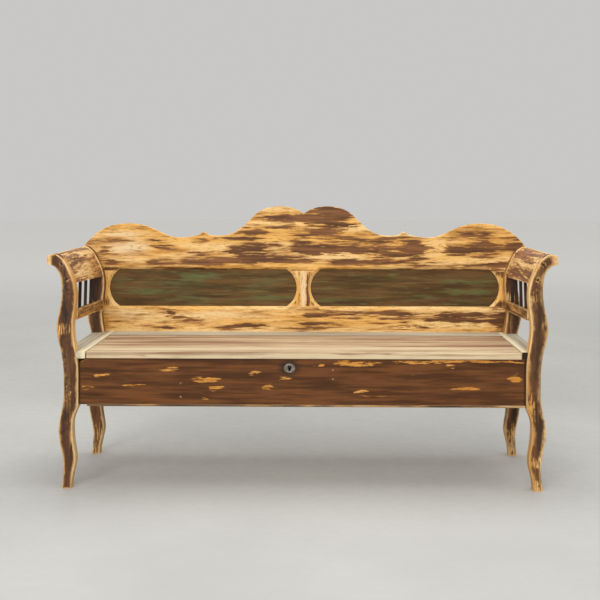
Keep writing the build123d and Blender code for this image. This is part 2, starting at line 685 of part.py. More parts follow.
fixed_leaves = {name: make_fixed_leaf(x) for name, x in hinge_places.items()}
lid_leaves = {name: make_lid_leaf(x) for name, x in hinge_places.items()}
hinge_pins = {name: make_hinge_pin(x) for name, x in hinge_places.items()}


def cut_hinge_pockets():
    """Hollows out the current board round both hinge barrels."""
    for x in hinge_places.values():
        barrel(x, POCKET_R, HINGE_LENGTH + 2 * POCKET_MARGIN, mode=Mode.SUBTRACT)


with BuildPart() as seat_back_strip:
    block((-SEAT_INNER["left"], STRIP_FRONT, BOX_TOP), (SEAT_INNER["right"], BACK, SEAT_TOP))
    cut_hinge_pockets()
    for leaf in fixed_leaves.values():
        add(leaf.part, mode=Mode.SUBTRACT)
    add(hinge_screws.part, mode=Mode.SUBTRACT)
    add(frame_nails.part, mode=Mode.SUBTRACT)

# ---------------------------------------------------------------- lid
LID_SEAM = -147
SEAM_GAP = 0.6
CLEAT_X = (-600, 0, 600)
CLEAT_HALF = 20
CLEAT_THICK = 20
CLEAT_FRONT, CLEAT_REAR = -205, 100
CLEAT_NAIL_Y = (-185, -60, 20, 85)
CLEAT_NAIL_LENGTH = 38
CLEAT_CHAMFER = 4
LID_ARRIS = 3.5

with BuildPart() as lid_cleat_nails:
    for x in CLEAT_X:
        for y in CLEAT_NAIL_Y:
            nail((x, y, BOX_TOP - CLEAT_THICK), UP, CLEAT_NAIL_LENGTH)

# ---------------------------------------------------------------- lock
LOCK_WALL = 1.5
PLATE_THICK = 2
CASE_REAR = BOARD_REAR + 20
CASE_HALF = 45
CASE_LOW, CASE_HIGH = 412, 476
PLATE_MARGIN = 5
LINK_X = LOCK_X + 18  # tab of the link plate
LINK_THICK = 4
LINK_Y = (-236, -227)
LINK_FOOT = 455
BOLT_Y = (-234, -229)
BOLT_Z = (460, 468)
BOLT_LENGTH = 44
BOLT_REST_GAP = 2  # between the withdrawn bolt and the tab
GUIDE_GAP = 0.3
LINK_PLATE_THICK = 3
LINK_PLATE_HALF = 21
LINK_PLATE_ARRIS = 4
LINK_SCREW_OFFSET = 15
LINK_SCREW_Y = LINK_Y[0] + 12
LINK_SLOT_HALF = 8
DRILL_PIN_R = 1.6
DRILL_PIN_LENGTH = 36
DRILL_PIN_ARRIS = 0.8
BOLT_NOTCH = (24, 15, 3)  # where the key lifts the bolt: start and end from its tip, and height
LOCK_SCREW_OFFSET = CASE_HALF + 2.2
LOCK_SCREW_Z = (CASE_LOW - 2, CASE_HIGH - 8)
LOCK_SCREW_LENGTH = 14
LUG_FROM_TIP = (38, 8)
LUG_HALF = 2
LUG_WALL = 5
LUG_BEHIND = 2.5
PLATE_KEYHOLE = (5, 6)

bolt_tip = LINK_X - LINK_THICK / 2 - BOLT_REST_GAP
plate_rear = BOARD_REAR + PLATE_THICK
case_in_x = (LOCK_X - CASE_HALF + LOCK_WALL, LOCK_X + CASE_HALF - LOCK_WALL)

with BuildPart() as lock_bolt:
    block((bolt_tip - BOLT_LENGTH, BOLT_Y[0], BOLT_Z[0]), (bolt_tip, BOLT_Y[1], BOLT_Z[1]))
    notch_start, notch_end, notch_height = BOLT_NOTCH
    block((bolt_tip - notch_start, BOLT_Y[0], BOLT_Z[0]), (bolt_tip - notch_end, BOLT_Y[1], BOLT_Z[0] + notch_height),
          mode=Mode.SUBTRACT)

with BuildPart() as lock_screws:
    for s in SIDES.values():
        for z in LOCK_SCREW_Z:
            screw((LOCK_X + s * LOCK_SCREW_OFFSET, plate_rear, z), FORWARD, LOCK_SCREW_LENGTH)

# Plate against the front board, with the keyhole and the two lugs that guide the bolt.
with BuildPart() as lock_plate:
    block((LOCK_X - CASE_HALF - PLATE_MARGIN, BOARD_REAR, CASE_LOW - PLATE_MARGIN),
          (LOCK_X + CASE_HALF + PLATE_MARGIN, plate_rear, CASE_HIGH))
    for from_tip in LUG_FROM_TIP:
        low, high = bolt_tip - from_tip - LUG_HALF, bolt_tip - from_tip + LUG_HALF
        block((low, plate_rear, BOLT_Z[0] - LUG_WALL), (high, BOLT_Y[1] + LUG_BEHIND, BOLT_Z[1] + LUG_WALL))
        block((low, BOLT_Y[0] - GUIDE_GAP, BOLT_Z[0] - GUIDE_GAP),
              (high, BOLT_Y[1] + GUIDE_GAP, BOLT_Z[1] + GUIDE_GAP), mode=Mode.SUBTRACT)
    with BuildSketch(vertical_section(plate_rear)):
        keyhole_outline(*PLATE_KEYHOLE, KEYHOLE_FOOT)
    extrude(amount=PLATE_THICK, mode=Mode.SUBTRACT)
    add(lock_screws.part, mode=Mode.SUBTRACT)

# Sheet-iron case, open towards the plate, with a slot on top for the link.
with BuildPart() as lock_case:
    block((LOCK_X - CASE_HALF, plate_rear, CASE_LOW), (LOCK_X + CASE_HALF, CASE_REAR, CASE_HIGH))
    block((case_in_x[0], plate_rear, CASE_LOW + LOCK_WALL),
          (case_in_x[1], CASE_REAR - LOCK_WALL, CASE_HIGH - LOCK_WALL), mode=Mode.SUBTRACT)
    block((LINK_X - LINK_SLOT_HALF, plate_rear + 1, CASE_HIGH - LOCK_WALL),
          (LINK_X + LINK_SLOT_HALF, CASE_REAR - LOCK_WALL, CASE_HIGH), mode=Mode.SUBTRACT)

with BuildPart() as lock_drill_pin:
    with Locations(Plane((LOCK_X, CASE_REAR - LOCK_WALL, KEY_Z), z_dir=FORWARD)):
        Cylinder(DRILL_PIN_R, DRILL_PIN_LENGTH, align=(Align.CENTER, Align.CENTER, Align.MIN))
    fillet(lock_drill_pin.faces().sort_by(Axis.Y)[0].edges(), DRILL_PIN_ARRIS)

# Round dished rose over the keyhole, wider than it is tall.
ROSE_R = 21.5
ROSE_CROWN_R = ROSE_R - 8  # highest ring of the rose
ROSE_SHOULDER = (ROSE_R - 3.5, 2.9)
ROSE_HEIGHT = 3
ROSE_DISH_R = 8
ROSE_THICK = 1.6
ROSE_FLAT = 0.88
ROSE_KEYHOLE_FOOT = 436
with BuildPart() as rose_blank:
    with BuildSketch(Plane.XY):
        with BuildLine():
            Line((0, 0), (ROSE_R, 0))
            ThreePointArc((ROSE_R, 0), ROSE_SHOULDER, (ROSE_CROWN_R, ROSE_HEIGHT))
            Line((ROSE_CROWN_R, ROSE_HEIGHT), (ROSE_DISH_R, ROSE_THICK))
            Line((ROSE_DISH_R, ROSE_THICK), (0, ROSE_THICK))
            Line((0, ROSE_THICK), (0, 0))
        make_face()
    revolve(axis=Axis.Y)
    scale(by=(1, 1, ROSE_FLAT))

with BuildPart() as escutcheon:
    with Locations(Location((LOCK_X, BOARD_FRONT, ROSE_Z), (0, 0, 180))):
        add(rose_blank.part)
    with BuildSketch(vertical_section(BOARD_FRONT)):
        keyhole_outline(KEYHOLE_R, KEYHOLE_SLOT, ROSE_KEYHOLE_FOOT)
    extrude(amount=2 * ROSE_HEIGHT, mode=Mode.SUBTRACT)
    add(front_nails.part, mode=Mode.SUBTRACT)

# Link plate under the lid: a flat plate with a pierced tab that drops into the lock.
with BuildPart() as link_plate_screws:
    for s in SIDES.values():
        screw((LINK_X + s * LINK_SCREW_OFFSET, LINK_SCREW_Y, BOX_TOP - LINK_PLATE_THICK), UP, SCREW_LENGTH)

with BuildPart() as lock_link_plate:
    block((LINK_X - LINK_PLATE_HALF, plate_rear, BOX_TOP - LINK_PLATE_THICK),
          (LINK_X + LINK_PLATE_HALF, CASE_REAR + 10, BOX_TOP))
    fillet(lock_link_plate.edges().filter_by(Axis.Z), LINK_PLATE_ARRIS)
    block((LINK_X - LINK_THICK / 2, LINK_Y[0], LINK_FOOT),
          (LINK_X + LINK_THICK / 2, LINK_Y[1], BOX_TOP - LINK_PLATE_THICK))
    block((LINK_X - LINK_THICK / 2, BOLT_Y[0] - GUIDE_GAP, BOLT_Z[0] - GUIDE_GAP),
          (LINK_X + LINK_THICK / 2, BOLT_Y[1] + GUIDE_GAP, BOLT_Z[1] + GUIDE_GAP), mode=Mode.SUBTRACT)
    add(link_plate_screws.part, mode=Mode.SUBTRACT)

with BuildPart() as lid_screws:
    add(lid_hinge_screws.part)
    add(link_plate_screws.part)

with BuildPart() as frame_screws:
    add(hinge_screws.part)
    add(lock_screws.part)

# ---------------------------------------------------------------- lid boards
with BuildPart() as lid_front_plank:
    block((LID_LEFT, FRONT, BOX_TOP), (LID_RIGHT, LID_SEAM, SEAT_TOP))
    fillet(lid_front_plank.edges().filter_by(Axis.X).group_by(Axis.Y)[0], LID_ARRIS)
    fillet(lid_front_plank.edges().filter_by(Axis.Y).group_by(Axis.Z)[-1], SEAT_ARRIS)
    add(lid_screws.part, mode=Mode.SUBTRACT)
    add(lid_cleat_nails.part, mode=Mode.SUBTRACT)

with BuildPart() as lid_back_plank:
    block((LID_LEFT, LID_SEAM + SEAM_GAP, BOX_TOP), (LID_RIGHT, LID_REAR, SEAT_TOP))
    fillet(lid_back_plank.edges().filter_by(Axis.Y).group_by(Axis.Z)[-1], SEAT_ARRIS)
    cut_hinge_pockets()
    for leaf in lid_leaves.values():
        add(leaf.part, mode=Mode.SUBTRACT)
    add(lid_screws.part, mode=Mode.SUBTRACT)
    add(lid_cleat_nails.part, mode=Mode.SUBTRACT)


def make_cleat(x):
    """Cross batten under the lid, which holds its two planks flat."""
    with BuildPart() as cleat:
        block((x - CLEAT_HALF, CLEAT_FRONT, BOX_TOP - CLEAT_THICK), (x + CLEAT_HALF, CLEAT_REAR, BOX_TOP))
        chamfer(cleat.edges().group_by(Axis.Z)[0], CLEAT_CHAMFER)
        add(lid_cleat_nails.part, mode=Mode.SUBTRACT)
    return cleat


lid_cleats = {name: make_cleat(x) for name, x in zip(("left", "centre", "right"), CLEAT_X)}

# The nails and the lock's screws leave their holes in the front board.
with BuildPart() as finished_front_board:
    add(box_front_board.part)
    add(frame_nails.part, mode=Mode.SUBTRACT)
    add(front_nails.part, mode=Mode.SUBTRACT)
    add(frame_screws.part, mode=Mode.SUBTRACT)

# ---------------------------------------------------------------- output
for name, post in posts.items():
    write(post, name)
write(finished_front_board, "box_front_board")
write(box_back_board, "box_back_board")
for name in SIDES:
    write(box_side_boards[name], f"box_{name}_board")
for name, batten in battens.items():
    write(batten, f"box_{name}_batten")
write(bottom_front_plank, "bottom_front_plank")
write(bottom_back_plank, "bottom_back_plank")
for name in SIDES:
    write(side_rails[name], f"{name}_side_rail")
    write(arm_boards[name], f"{name}_arm_board")
    write(arm_edge_strips[name], f"{name}_arm_edge_strip")
    write(seat_end_boards[name], f"seat_{name}_end_board")
    write(back_panels[name], f"back_{name}_panel")
    write(fixed_leaves[name], f"{name}_hinge_fixed_leaf")
    write(lid_leaves[name], f"{name}_hinge_lid_leaf")
    write(hinge_pins[name], f"{name}_hinge_pin")
    for number, slat in enumerate(slats[name], start=1):
        write(slat, f"{name}_slat_{number}")
write(seat_back_strip, "seat_back_strip")
write(crest_board, "crest_board")
write(back_bottom_rail, "back_bottom_rail")
for name, stile in back_stiles.items():
    write(stile, f"back_{name}_stile")
write(lid_front_plank, "lid_front_plank")
write(lid_back_plank, "lid_back_plank")
for name, cleat in lid_cleats.items():
    write(cleat, f"lid_{name}_cleat")
write(lock_bolt, "lock_bolt")
write(lock_plate, "lock_plate")
write(lock_case, "lock_case")
write(lock_drill_pin, "lock_drill_pin")
write(escutcheon, "escutcheon")
write(lock_link_plate, "lock_link_plate")
write(arm_pegs, "arm_pegs")
write(frame_nails, "frame_nails")
write(front_nails, "front_nails")
write(lid_cleat_nails, "lid_cleat_nails")
write(frame_screws, "frame_screws")
write(lid_screws, "lid_screws")
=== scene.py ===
"""Looks of the painted pine settle: worn paint over pine, a scrubbed seat and old iron."""

import math

import bpy
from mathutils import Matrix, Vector


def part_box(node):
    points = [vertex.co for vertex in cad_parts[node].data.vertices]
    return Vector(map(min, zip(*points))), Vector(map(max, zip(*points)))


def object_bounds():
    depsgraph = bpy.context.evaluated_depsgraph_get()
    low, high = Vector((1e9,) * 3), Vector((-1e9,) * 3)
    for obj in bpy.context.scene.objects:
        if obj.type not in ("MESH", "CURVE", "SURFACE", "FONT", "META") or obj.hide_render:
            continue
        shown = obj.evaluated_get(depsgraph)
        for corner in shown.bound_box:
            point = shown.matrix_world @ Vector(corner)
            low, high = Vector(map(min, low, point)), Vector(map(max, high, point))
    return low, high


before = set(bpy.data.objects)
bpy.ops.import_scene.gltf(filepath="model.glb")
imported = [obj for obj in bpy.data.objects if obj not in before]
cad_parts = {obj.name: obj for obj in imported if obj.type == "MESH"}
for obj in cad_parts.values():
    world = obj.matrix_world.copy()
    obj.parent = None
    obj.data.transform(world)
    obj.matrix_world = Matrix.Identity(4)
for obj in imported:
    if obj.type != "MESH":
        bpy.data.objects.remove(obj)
cad_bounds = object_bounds()
low_corner, high_corner = cad_bounds

ALONG_X, ALONG_Y, ALONG_Z = 0, 1, 2

# ---------------------------------------------------------------- colours, in linear light
RING_ORANGE = (0.58, 0.25, 0.042)
DARK_LINE = (0.20, 0.085, 0.04)
AGED_LINE = (0.14, 0.075, 0.033)
SEAT_CREAM = (0.58, 0.43, 0.255)

# Woods: the pale bands, the deep bands and the growth lines.
BACK_WOOD = ((0.84, 0.58, 0.255), (0.79, 0.445, 0.122), RING_ORANGE)
CHIP_WOOD = ((0.64, 0.30, 0.078), (0.54, 0.22, 0.035), RING_ORANGE)
POST_WOOD = ((0.79, 0.54, 0.26), (0.60, 0.32, 0.10), RING_ORANGE)
ARM_WOOD = ((0.80, 0.55, 0.26), (0.66, 0.37, 0.14), (0.45, 0.22, 0.09))
PLANK_WOOD = ((0.56, 0.42, 0.27), (0.42, 0.29, 0.18), (0.25, 0.15, 0.08))
SEAT_FRONT_WOOD = ((0.64, 0.51, 0.32), SEAT_CREAM, DARK_LINE)
SEAT_MIDDLE_WOOD = (SEAT_CREAM, (0.34, 0.195, 0.12), DARK_LINE)
GREY_WOOD = ((0.58, 0.52, 0.38), (0.44, 0.38, 0.27), (0.28, 0.21, 0.13))
RAW_WOOD = ((0.48, 0.30, 0.14), (0.42, 0.26, 0.12), (0.27, 0.14, 0.06))
AGED_WOOD = ((0.37, 0.225, 0.105), (0.27, 0.155, 0.07), AGED_LINE)
AGED_PANEL_WOOD = ((0.30, 0.175, 0.08), (0.20, 0.115, 0.052), AGED_LINE)

CREST_PAINT = (0.176, 0.073, 0.026)
BOARD_PAINT = (0.115, 0.041, 0.0115)
PLANK_PAINT = (0.10, 0.06, 0.035)
POST_PAINT = (0.125, 0.052, 0.02)
ARM_PAINT = (0.24, 0.11, 0.055)
STRIP_PAINT = (0.3, 0.16, 0.08)
SIDE_RAIL_PAINT = (0.17, 0.085, 0.04)
SLAT_PAINT = (0.045, 0.022, 0.014)
PANEL_PAINT = (0.107, 0.055, 0.017)
PANEL_GREEN = (0.116, 0.130, 0.044)
PANEL_GRIME = (0.03, 0.019, 0.010)

BARE_CREAM = (0.80, 0.64, 0.41)
STAIN = (0.42, 0.185, 0.035)
SPECK = (0.25, 0.11, 0.022)
# Near black: dirt on the posts, painted shade at the front board's ends and round the escutcheon, and
# the darkened front of the right seat end board.
DIRT_AND_PAINTED_SHADE = (0.022, 0.014, 0.009)
CRACK = (0.14, 0.07, 0.035)
GRIME = (0.30, 0.20, 0.13)
SHADOW_LINE = (0.12, 0.06, 0.03)
PALE_EDGE_BAND = (0.80, 0.68, 0.44)

# Irons: dark scale, rubbed grey and rust.
ROSE_IRON = ((0.07, 0.055, 0.042), (0.34, 0.29, 0.24), (0.13, 0.065, 0.032))
WORKS_IRON = ((0.035, 0.03, 0.028), (0.13, 0.115, 0.10), (0.15, 0.06, 0.025))
HINGE_IRON = ((0.22, 0.17, 0.12), (0.46, 0.38, 0.28), (0.32, 0.18, 0.09))
NAIL_IRON = ((0.10, 0.06, 0.035), (0.46, 0.30, 0.17), (0.30, 0.13, 0.05))

FLOOR_DARK = (0.46, 0.46, 0.435)
FLOOR_PALE = (0.52, 0.52, 0.49)
FLOOR_SPECK = (0.40, 0.39, 0.37)
FLOOR_FAR = (0.97, 0.97, 0.955)
DAYLIGHT = (1.0, 0.99, 0.97, 1)

# ---------------------------------------------------------------- wood and wear, lengths in metres
SEED_STEP = (3.7, 1.9, 5.3)
BARE_SIDE_SEED = 50
RING_COUNT = 16
RING_STRENGTH = 0.35
WOOD_RELIEF = 0.0006
IRON_RELIEF = 0.0004
RELIEF_STRENGTH = 0.6
DULL_SHINE = 0.2
BEVEL_SAMPLES = 6
TENON_LENGTH = 0.022
# A spot is full at its core and gone at its rim, both in half sizes. Its outline drifts.
SPOT_CORE, SPOT_RIM = 0.3, 1.5
DRIFT_PITCH = (14, 14, 60)
DRIFT_ALONG, DRIFT_UP = 10, 3


# ---------------------------------------------------------------- node helpers
class Nodes:
    """One material's node tree. Each method adds a node and returns its output socket."""

    def __init__(self, name):
        self.material = bpy.data.materials.new(name)
        self.material.use_nodes = True
        self.tree = self.material.node_tree
        self.shader = self.tree.nodes["Principled BSDF"]
        self.position = self.tree.nodes.new("ShaderNodeTexCoord").outputs["Object"]

    def put(self, socket, value):
        """Links a socket, or sets its value."""
        if isinstance(value, bpy.types.NodeSocket):
            self.tree.links.new(value, socket)
        elif isinstance(value, tuple) and len(value) == 3 and socket.type == "RGBA":
            socket.default_value = (*value, 1)
        else:
            socket.default_value = value

    def math(self, operation, a, b=0.0, c=0.0):
        node = self.tree.nodes.new("ShaderNodeMath")
        node.operation = operation
        for socket, value in zip(node.inputs, (a, b, c)):
            self.put(socket, value)
        return node.outputs[0]

    def vector(self, operation, a, b=(0, 0, 0), c=(0, 0, 0)):
        node = self.tree.nodes.new("ShaderNodeVectorMath")
        node.operation = operation
        for socket, value in zip(node.inputs, (a, b, c)):
            self.put(socket, value)
        return node.outputs["Value" if operation in ("LENGTH", "DOT_PRODUCT") else "Vector"]

    def axis(self, vector, index):
        node = self.tree.nodes.new("ShaderNodeSeparateXYZ")
        self.put(node.inputs[0], vector)
        return node.outputs[index]

    def noise(self, vector, scale=1.0, detail=3.0, roughness=0.55):
        node = self.tree.nodes.new("ShaderNodeTexNoise")
        self.put(node.inputs["Vector"], vector)
        node.inputs["Scale"].default_value = scale
        node.inputs["Detail"].default_value = detail
        node.inputs["Roughness"].default_value = roughness
        return node.outputs["Fac"]

    def ease(self, value, start, end, low=0.0, high=1.0):
        """Smooth step from low to high as the value goes from start to end."""
        node = self.tree.nodes.new("ShaderNodeMapRange")
        node.interpolation_type = "SMOOTHSTEP"
        settings = {"Value": value, "From Min": start, "From Max": end, "To Min": low, "To Max": high}
        for name, setting in settings.items():
            self.put(node.inputs[name], setting)
        return node.outputs["Result"]

    def mix(self, factor, a, b):
        node = self.tree.nodes.new("ShaderNodeMix")
        node.data_type = "RGBA"
        self.put(node.inputs["Factor"], factor)
        self.put(node.inputs["A"], a)
        self.put(node.inputs["B"], b)
        return node.outputs["Result"]

    def tint(self, base, value, start, end, strength, colour):
        """Lays a colour over the base, up to a strength, as the value goes from start to end."""
        return self.mix(self.ease(value, start, end, 0.0, strength), base, colour)

    def bump(self, height, distance, strength):
        node = self.tree.nodes.new("ShaderNodeBump")
        node.inputs["Strength"].default_value = strength
        node.inputs["Distance"].default_value = distance
        self.put(node.inputs["Height"], height)
        self.tree.links.new(node.outputs["Normal"], self.shader.inputs["Normal"])

    def stretched(self, grain, along, across, seed):
        """Position, scaled along the grain and across it, and moved by the seed."""
        scale = [across] * 3
        scale[grain] = along
        shift = tuple(seed * step for step in SEED_STEP)
        return self.vector("MULTIPLY_ADD", self.position, tuple(scale), shift)

    def normal(self, axis):
        """One component of the direction a face looks in."""
        return self.axis(self.tree.nodes.new("ShaderNodeNewGeometry").outputs["Normal"], axis)

    def edges(self, radius):
        """1 on a sharp edge, falling to 0 at about the radius from it. The radius wanders."""
        rounded = self.tree.nodes.new("ShaderNodeBevel")
        rounded.samples = BEVEL_SAMPLES
        wander = self.noise(self.position, 22, 3.0)
        self.put(rounded.inputs["Radius"], self.ease(wander, 0.32, 0.68, 0.45 * radius, 1.5 * radius))
        flat = self.tree.nodes.new("ShaderNodeNewGeometry")
        agreement = self.vector("DOT_PRODUCT", rounded.outputs["Normal"], flat.outputs["Normal"])
        return self.ease(agreement, 0.999, 0.93)

    def facing(self, axis, sign):
        """1 on faces that look along one axis, in the direction of the sign."""
        return self.ease(self.math("MULTIPLY", self.normal(axis), sign), 0.4, 0.8)

    def facing_sideways(self):
        """1 on faces that look left or right."""
        return self.ease(self.math("ABSOLUTE", self.normal(ALONG_X)), 0.45, 0.9)

    def bevel_faces(self):
        """1 on chamfers between a front or back face and a side."""
        facing = self.math("ABSOLUTE", self.normal(ALONG_Y))
        return self.math("MULTIPLY", self.ease(facing, 0.35, 0.5), self.ease(facing, 0.93, 0.85))

    def places(self, node, spots, wander):
        """Sum of soft spots on a board. A spot is its middle and half size, in parts of the board's
        length and height as seen from the front, and how strong it is."""
        low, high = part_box(node)
        length, height = high.x - low.x, high.z - low.z
        drift = self.tree.nodes.new("ShaderNodeTexNoise")
        drift.inputs["Scale"].default_value = 1.0
        drift.inputs["Detail"].default_value = 4.0
        self.put(drift.inputs["Vector"], self.vector("MULTIPLY", self.position, DRIFT_PITCH))
        centred = self.vector("SUBTRACT", drift.outputs["Color"], (0.5, 0.5, 0.5))
        drifting = (wander * DRIFT_ALONG, 0, wander * DRIFT_UP)
        moved = self.vector("MULTIPLY_ADD", centred, drifting, self.position)
        total = 0.0
        for u, v, half_u, half_v, strength in spots:
            per_x, per_z = 1 / (half_u * length), 1 / (half_v * height)
            offset = (-(low.x + u * length) * per_x, 0, -(low.z + v * height) * per_z)
            apart = self.vector("MULTIPLY_ADD", moved, (per_x, 0, per_z), offset)
            away = self.vector("LENGTH", apart)
            total = self.math("ADD", total, self.ease(away, SPOT_RIM, SPOT_CORE, 0.0, strength))
        return total

    def beside(self, axis, place, reach):
        """1 on a plane across one axis, falling to 0 at a reach from it."""
        distance = self.math("ABSOLUTE", self.math("SUBTRACT", self.axis(self.position, axis), place))
        return self.ease(distance, reach, 0.2 * reach)

    def colour_over(self, factor, colour):
        """Lays one more colour over the shader's base colour."""
        base = self.shader.inputs["Base Color"]
        self.put(base, self.mix(factor, base.links[0].from_socket, colour))


def pine(g, grain, seed, light, deep, ring):
    """Colour and height of sawn pine: long growth lines, pale and deep bands and a fine fibre."""
    growth = g.noise(g.stretched(grain, 0.45, 6.5, seed), detail=2.0, roughness=0.45)
    wave = g.math("SINE", g.math("MULTIPLY", growth, RING_COUNT * math.tau))
    breakup = g.noise(g.stretched(grain, 1.6, 24, seed + 2), detail=2.0)
    line = g.math("MULTIPLY", g.ease(wave, 0.1, 0.95), g.ease(breakup, 0.35, 0.7))
    band = g.ease(g.noise(g.stretched(grain, 1.6, 16, seed + 5), detail=4.0), 0.40, 0.62)
    dash = g.noise(g.stretched(grain, 9, 120, seed + 6), detail=3.0)
    fibre = g.noise(g.stretched(grain, 7, 420, seed + 7), detail=2.0)
    colour = g.mix(band, light, deep)
    colour = g.mix(g.math("MULTIPLY", line, RING_STRENGTH), colour, ring)
    colour = g.tint(colour, dash, 0.54, 0.70, 0.45, ring)
    colour = g.tint(colour, fibre, 0.58, 0.78, 0.25, ring)
    height = g.math("MULTIPLY_ADD", fibre, 0.5, g.math("MULTIPLY", line, 0.5))
    return colour, height


def streaks(g, grain, seed):
    """Ragged long streaks, about 0.5 on average, in which paint survives or wears off."""
    fine = g.noise(g.stretched(grain, 13, 125, seed), detail=4.0, roughness=0.6)
    medium = g.noise(g.stretched(grain, 4.5, 55, seed + 4), detail=4.0, roughness=0.6)
    broad = g.noise(g.stretched(grain, 2.2, 24, seed + 8), detail=4.0, roughness=0.6)
    together = g.math("MULTIPLY_ADD", medium, 0.36, g.math("MULTIPLY", broad, 0.30))
    return g.math("MULTIPLY_ADD", fine, 0.34, together)


def shade(colour, factor):
    """A colour made darker or lighter."""
    return tuple(factor * channel for channel in colour)


def assign(g, *names):
    """Puts one material on every slot of these CAD nodes."""
    for name in names:
        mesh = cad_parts[name].data
        mesh.materials.clear()
        mesh.materials.append(g.material)


def worn_paint(name, grain, seed, paint, cover, spots=(), board=None, ragged=3.4, edge_wear=0.3,
               edge_radius=0.006, bare=BACK_WOOD, pale_spots=(), wander=0.012, mottle=0.35,
               shine=DULL_SHINE, side_wear=0.0):
    """Paint over bare pine. Cover is how much of the paint is left, from 0 to 1, ragged is how uneven
    its streaks are, mottle how dark its patches are, and wander how far the spots' outlines stray."""
    g = Nodes(name)
    wood, height = pine(g, grain, seed, *bare)
    if pale_spots:
        wood = g.mix(g.math("MULTIPLY", g.places(board, pale_spots, wander), 0.8), wood, BARE_CREAM)
    speck = g.noise(g.stretched(grain, 34, 210, seed + 19), detail=3.0, roughness=0.6)
    wood = g.tint(wood, speck, 0.55, 0.68, 0.65, SPECK)
    streak = streaks(g, grain, seed)
    field = g.math("MULTIPLY_ADD", g.math("SUBTRACT", streak, 0.5), ragged, cover)
    painted = [spot for spot in spots if spot[-1] > 0]
    rubbed = [spot for spot in spots if spot[-1] < 0]
    if painted:
        kept = g.ease(streak, 0.42, 0.58, 0.6, 1.35)
        field = g.math("MULTIPLY_ADD", g.places(board, painted, wander), kept, field)
    if rubbed:
        slices = g.noise(g.stretched(grain, 22, 210, seed + 17), detail=4.0, roughness=0.65)
        lost = g.ease(slices, 0.60, 0.42, 0.0, 2.0)
        field = g.math("MULTIPLY_ADD", g.places(board, rubbed, wander), lost, field)
    worn_edge = g.math("MAXIMUM", g.edges(edge_radius), g.bevel_faces())
    field = g.math("SUBTRACT", field, g.math("MULTIPLY", worn_edge, edge_wear))
    if side_wear:
        field = g.math("SUBTRACT", field, g.math("MULTIPLY", g.facing_sideways(), side_wear))
    residue = g.ease(field, 0.10, 0.55, 0.0, 0.85)
    solid = g.ease(field, 0.38, 0.66)
    tone = g.noise(g.stretched(grain, 5, 70, seed + 9), detail=4.0)
    patch = g.ease(g.noise(g.stretched(grain, 7, 40, seed + 15), detail=4.0), 0.54, 0.70, 0.0, mottle)
    thick = g.mix(g.ease(tone, 0.35, 0.68), shade(paint, 0.6), shade(paint, 1.35))
    thick = g.mix(patch, thick, shade(paint, 0.25))
    colour = g.mix(solid, g.mix(residue, wood, STAIN), thick)
    g.put(g.shader.inputs["Base Color"], colour)
    g.put(g.shader.inputs["Roughness"], g.ease(solid, 0.0, 1.0, 0.62, 0.5))
    g.shader.inputs["Specular IOR Level"].default_value = shine
    relief = g.math("MULTIPLY_ADD", solid, 0.6, g.math("MULTIPLY", height, 0.6))
    g.bump(relief, WOOD_RELIEF, RELIEF_STRENGTH)
    return g


def leave_bare(g, axis, sign, grain, seed, wood):
    """Bare, unpainted wood on the faces that look one way."""
    colour, _ = pine(g, grain, seed + BARE_SIDE_SEED, *wood)
    g.colour_over(g.facing(axis, sign), colour)


def scrubbed_pine(name, grain, seed, wood, lines=0.6, dirt=0.25):
    """Bare wood, dried and a little dirty. Lines is how strongly its dark growth lines show."""
    g = Nodes(name)
    light, _, ring = wood
    colour, height = pine(g, grain, seed, *wood)
    bold = g.noise(g.stretched(grain, 1.5, 26, seed + 10), detail=4.0, roughness=0.6)
    colour = g.tint(colour, bold, 0.53, 0.62, lines, ring)
    colour = g.tint(colour, bold, 0.46, 0.38, 0.6, light)
    thin = g.noise(g.stretched(grain, 1.4, 62, seed + 12), detail=3.0, roughness=0.6)
    colour = g.tint(colour, thin, 0.53, 0.59, lines, ring)
    colour = g.tint(colour, thin, 0.46, 0.40, 0.6, light)
    crack = g.ease(g.noise(g.stretched(grain, 1.3, 95, seed + 11), detail=1.5), 0.68, 0.74)
    colour = g.mix(g.math("MULTIPLY", crack, 0.7), colour, CRACK)
    cloud = g.noise(g.stretched(grain, 2, 9, seed + 13), detail=4.0)
    colour = g.tint(colour, cloud, 0.45, 0.8, dirt, GRIME)
    g.put(g.shader.inputs["Base Color"], colour)
    g.shader.inputs["Roughness"].default_value = 0.68
    g.shader.inputs["Specular IOR Level"].default_value = DULL_SHINE
    relief = g.math("SUBTRACT", height, g.math("MULTIPLY", crack, 0.8))
    g.bump(relief, WOOD_RELIEF, RELIEF_STRENGTH)
    return g


